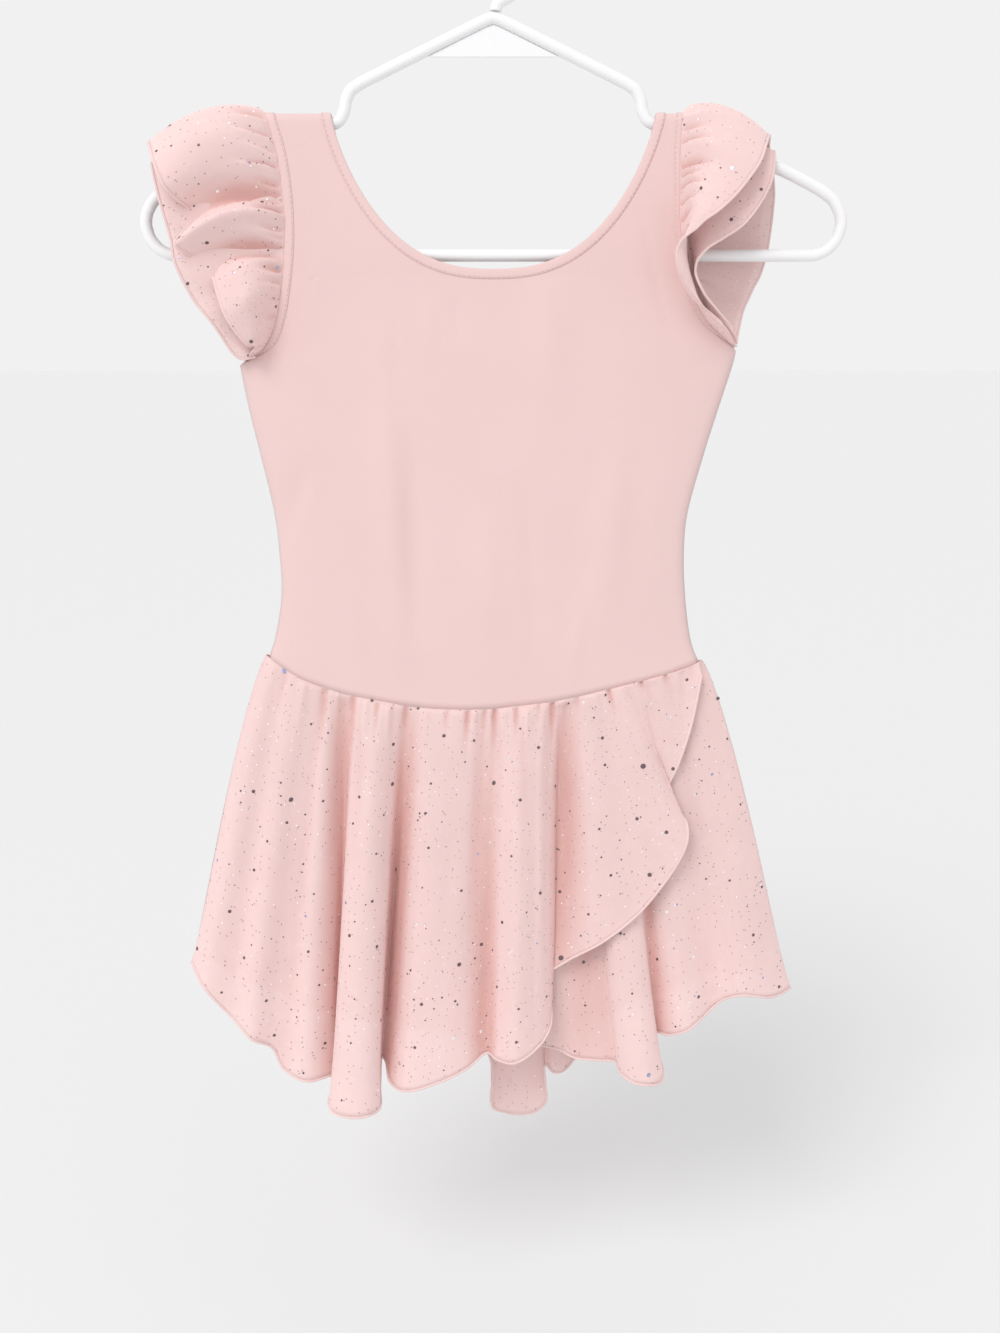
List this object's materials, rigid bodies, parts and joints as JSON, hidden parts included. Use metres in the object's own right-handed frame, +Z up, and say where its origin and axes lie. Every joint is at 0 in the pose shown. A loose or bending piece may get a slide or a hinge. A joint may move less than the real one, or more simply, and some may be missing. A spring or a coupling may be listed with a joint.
{
  "type": "skirted leotard on a tubular plastic hanger",
  "caption": "Girl's skirted leotard with a scooped neck, gathered flutter sleeves and a wrap-look chiffon skirt with foil dots, on a white plastic hanger.",
  "frame": {"origin": "inside top of the hanger's hook, where it hangs on a rail", "axes": "+Z up; the front of the leotard faces -Y; +X is to the right when its front is looked at"},
  "size_m": [0.4326, 0.0713, 0.7974],
  "materials": {
    "pink_jersey": "smooth matte stretch jersey",
    "pink_binding": "matte folded jersey binding",
    "pink_chiffon": "half sheer chiffon with foil dots",
    "white_plastic": "smooth, half gloss"
  },
  "bodies": {
    "root": {"bodice_front": "pink_jersey", "bodice_back": "pink_jersey", "neck_binding": "pink_binding", "armhole_binding_left": "pink_binding", "armhole_binding_right": "pink_binding", "sleeve_left_upper": "pink_chiffon", "sleeve_left_lower": "pink_chiffon", "sleeve_right_upper": "pink_chiffon", "sleeve_right_lower": "pink_chiffon", "skirt_overlap": "pink_chiffon", "skirt_underlap": "pink_chiffon", "skirt_back": "pink_chiffon", "brief_front": "pink_jersey", "brief_back": "pink_jersey", "hanger_frame": "white_plastic", "hanger_web": "white_plastic", "hanger_hook": "white_plastic"}
  },
  "joints": []
}
